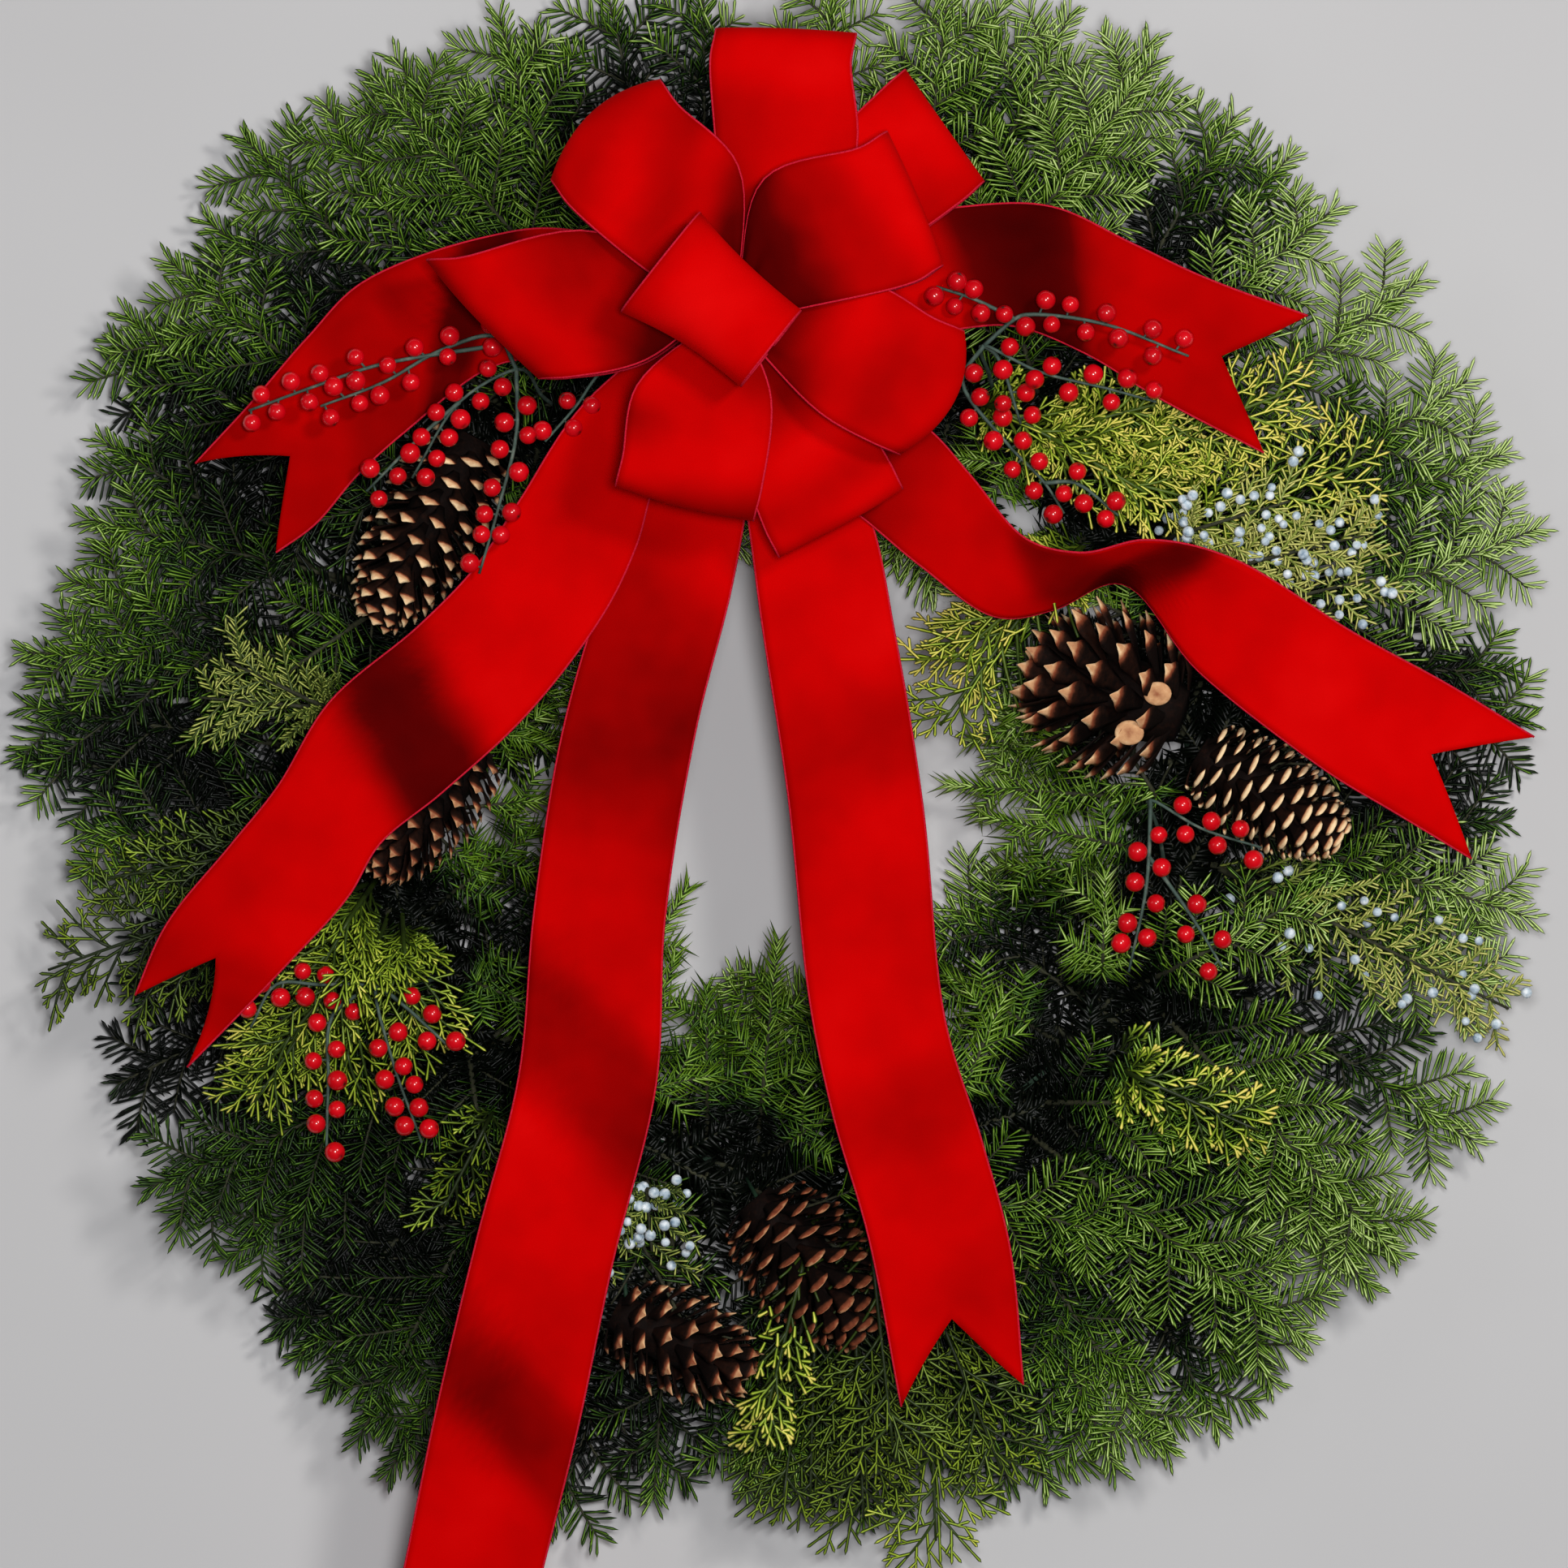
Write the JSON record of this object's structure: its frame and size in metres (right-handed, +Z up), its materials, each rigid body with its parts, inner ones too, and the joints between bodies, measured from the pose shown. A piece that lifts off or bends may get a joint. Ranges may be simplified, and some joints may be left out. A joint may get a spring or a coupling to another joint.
{
  "type": "evergreen wreath",
  "caption": "Fresh mixed evergreen wreath on a wire ring, with pine cones, red berry sprays and a velvet ribbon bow with long swallow-tailed ends, lying on its back with the bow upward",
  "frame": {"origin": "Under the middle of the bounding box, on the surface that the wreath lies on", "axes": "+Z is up, the way the wreath's front and its bow look while it lies on its back; +Y points to the wreath's top as it hangs, along its longest extent; +X points to the right of someone who looks at its front"},
  "size_m": [0.7172, 0.7812, 0.189],
  "materials": {
    "wire": "dark green enamelled wire",
    "ribbon": "red velvet with wired edges",
    "berries": "glossy red berries on thin green and brown wrapped twigs",
    "cones": "dry brown scales with pale tips",
    "fir": "fresh dark green needles on brown twigs",
    "cedar": "fresh yellow-green scale leaves with golden tips",
    "juniper": "fresh grey-green leaves with blue-grey berries"
  },
  "bodies": {
    "root": {"berry_spray_inner_left": "berries", "berry_spray_lower_left": "berries", "berry_spray_lower_right": "berries", "berry_spray_upper_left": "berries", "berry_spray_upper_right": "berries", "bow_loops": "ribbon", "bow_tie_wire": "wire", "cedar_spray_01": "cedar", "cedar_spray_02": "cedar", "cedar_spray_03": "cedar", "cedar_spray_04": "cedar", "cedar_spray_05": "cedar", "cedar_spray_06": "cedar", "cedar_spray_07": "cedar", "cedar_spray_08": "cedar", "fir_spray_01": "fir", "fir_spray_02": "fir", "fir_spray_03": "fir", "fir_spray_04": "fir", "fir_spray_05": "fir", "fir_spray_06": "fir", "fir_spray_07": "fir", "fir_spray_08": "fir", "fir_spray_09": "fir", "fir_spray_10": "fir", "fir_spray_11": "fir", "fir_spray_12": "fir", "fir_spray_13": "fir", "fir_spray_14": "fir", "fir_spray_15": "fir", "fir_spray_16": "fir", "fir_spray_17": "fir", "fir_spray_18": "fir", "fir_spray_19": "fir", "fir_spray_20": "fir", "fir_spray_21": "fir", "fir_spray_22": "fir", "fir_spray_23": "fir", "fir_spray_24": "fir", "fir_spray_25": "fir", "fir_spray_26": "fir", "juniper_spray_01": "juniper", "juniper_spray_02": "juniper", "juniper_spray_03": "juniper", "juniper_spray_04": "juniper", "pine_cone_bottom": "cones", "pine_cone_bottom_left": "cones", "pine_cone_left": "cones", "pine_cone_right_long": "cones", "pine_cone_right_round": "cones", "pine_cone_upper_left": "cones", "ribbon_tail_centre_left": "ribbon", "ribbon_tail_centre_right": "ribbon", "ribbon_tail_lower_left": "ribbon", "ribbon_tail_lower_right": "ribbon", "ribbon_tail_upper_left": "ribbon", "ribbon_tail_upper_right": "ribbon", "wire_ring_frame": "wire"}
  },
  "joints": []
}
